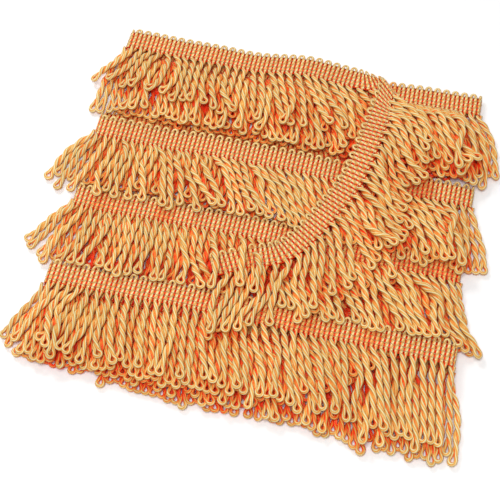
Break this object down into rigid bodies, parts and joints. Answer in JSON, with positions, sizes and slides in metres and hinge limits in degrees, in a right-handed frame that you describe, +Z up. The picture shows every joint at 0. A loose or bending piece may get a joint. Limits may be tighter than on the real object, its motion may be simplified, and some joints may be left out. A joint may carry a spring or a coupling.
{
  "type": "looped fringe trim",
  "caption": "Length of golden-yellow looped bullion fringe trim with a ribbed heading, folded back and forth in a flat bundle with its end laid across.",
  "frame": {"origin": "on the surface that the bundle rests on, under the middle of its box", "axes": "+X along the rows of fringe, +Y towards the back row's heading, +Z up"},
  "size_m": [0.2338, 0.2122, 0.0162],
  "materials": {
    "heading_yarn": "ribbed woven braid of golden yarn, soft sheen",
    "rope_yarn": "silky twisted yarn, golden yellow with orange in its depths"
  },
  "bodies": {
    "root": {"heading": "heading_yarn", "fringe_tail": "rope_yarn", "fringe_diagonal": "rope_yarn", "fringe_row1_top": "rope_yarn", "fringe_row1_under": "rope_yarn", "fringe_crossing_1": "rope_yarn", "fringe_row2_under": "rope_yarn", "fringe_row2_top": "rope_yarn", "fringe_crossing_2": "rope_yarn", "fringe_row3_under": "rope_yarn", "fringe_row3_top": "rope_yarn", "fringe_row4_under": "rope_yarn", "fringe_row4_top": "rope_yarn", "fringe_row4_low": "rope_yarn"}
  },
  "joints": []
}
